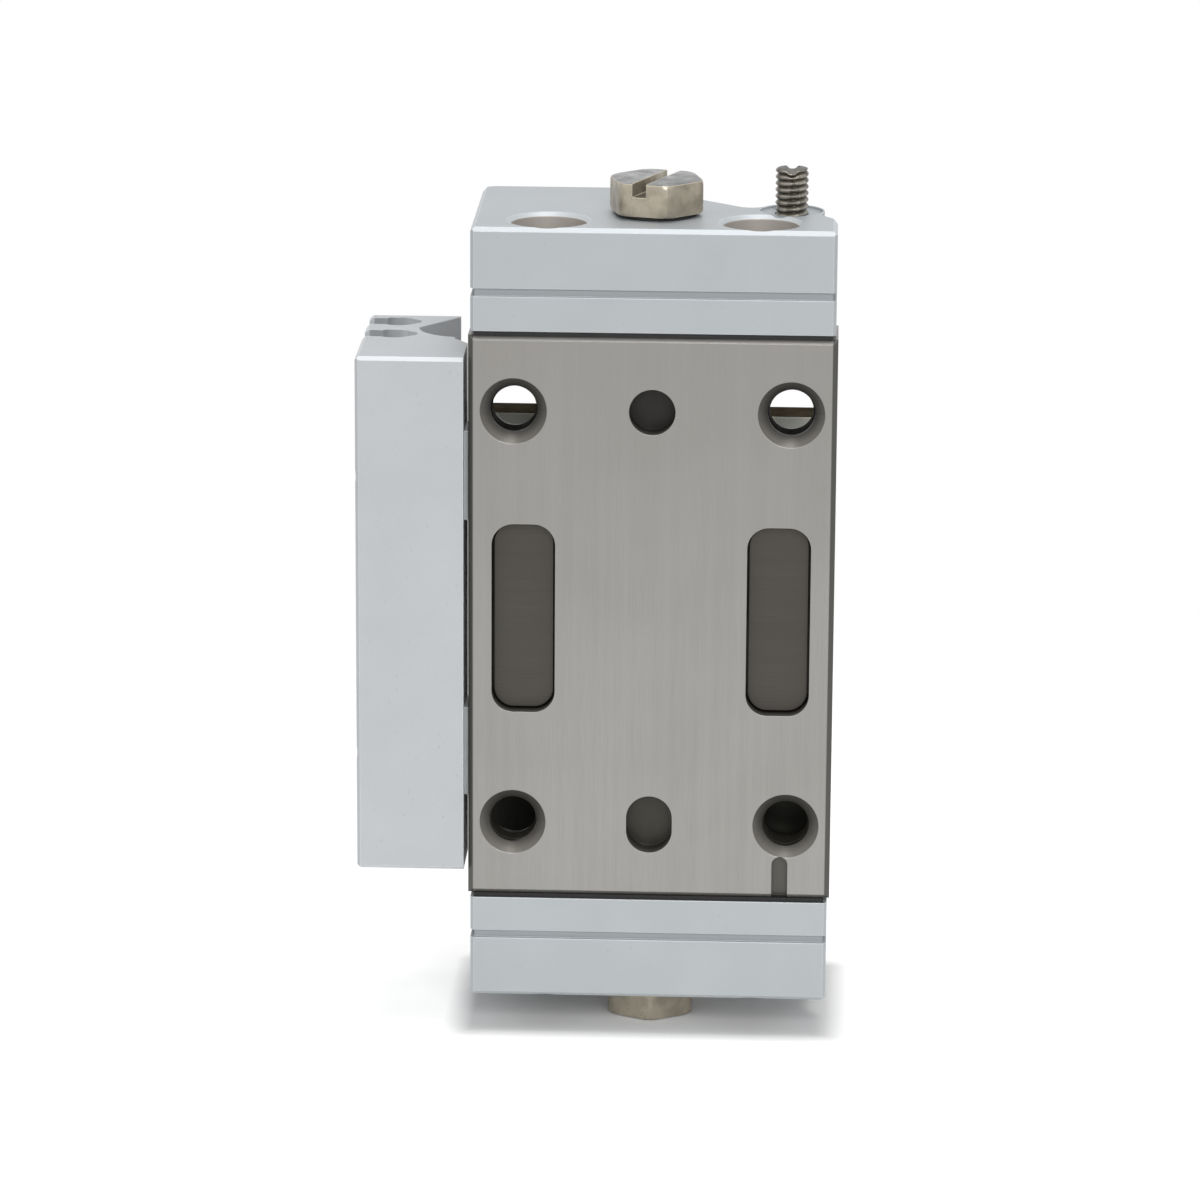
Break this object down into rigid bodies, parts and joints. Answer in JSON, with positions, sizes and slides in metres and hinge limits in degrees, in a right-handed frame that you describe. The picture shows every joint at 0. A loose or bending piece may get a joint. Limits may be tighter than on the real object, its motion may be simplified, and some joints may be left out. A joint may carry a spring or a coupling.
{
  "type": "pneumatic slide table",
  "caption": "Compact pneumatic slide table: steel guide body between aluminium end plates, a sliding table behind it and a sensor rail on its left side.",
  "frame": {"origin": "middle of the guide body's front mounting face, where its four M5 holes are centred", "axes": "+Z along the stroke and the longest side, towards the end plate with the stroke adjuster; -Y out of the guide body's front mounting face, +Y towards the table; +X away from the switch rail"},
  "size_m": [0.0418, 0.0218, 0.0766],
  "materials": {
    "plate_steel": "ground and fine brushed along its length",
    "cover_steel": "dark, brushed across",
    "ball_steel": "polished",
    "anodised_aluminium": "fine bead-blasted, clear anodised",
    "black_rubber": "matt",
    "screw_steel": "satin",
    "nickel_brass": "nickel plated, turned",
    "rod_steel": "ground and hard chromed",
    "piston_aluminium": "turned",
    "stud_steel": "dark stainless",
    "rail_aluminium": "extruded, bead-blasted, clear anodised",
    "table_steel": "ground",
    "head_brass": "turned",
    "ring_steel": "phosphated",
    "magnet": "coated"
  },
  "bodies": {
    "body": {"guide_body": "plate_steel", "ball_cover_left": "cover_steel", "ball_cover_right": "cover_steel", "guide_balls_left": "ball_steel", "guide_balls_right": "ball_steel", "end_plate_top": "anodised_aluminium", "end_plate_bottom": "anodised_aluminium", "end_gasket_top": "black_rubber", "end_gasket_bottom": "black_rubber", "end_plate_screws": "screw_steel", "port_plug_top": "nickel_brass", "port_plug_bottom": "nickel_brass", "plug_gaskets": "black_rubber", "piston_rod": "rod_steel", "rod_o_rings": "black_rubber", "piston": "piston_aluminium", "piston_seals": "black_rubber", "stroke_adjuster": "stud_steel", "adjuster_nut": "stud_steel", "adjuster_pad": "black_rubber", "lower_bumper": "black_rubber", "switch_rail": "rail_aluminium", "switch_rail_screws": "screw_steel"},
    "table": {"table": "table_steel", "cylinder_heads": "head_brass", "rod_seals": "black_rubber", "head_o_rings": "black_rubber", "retaining_rings": "ring_steel", "stop_bar": "table_steel", "stop_bar_screws": "screw_steel", "magnet_holder": "rail_aluminium", "magnet": "magnet", "magnet_screw": "screw_steel"}
  },
  "joints": [
    {"name": "table_slide", "type": "slide", "parent": "body", "child": "table", "axis": [0, 0, 1], "range_m": [0, 0.01]}
  ]
}
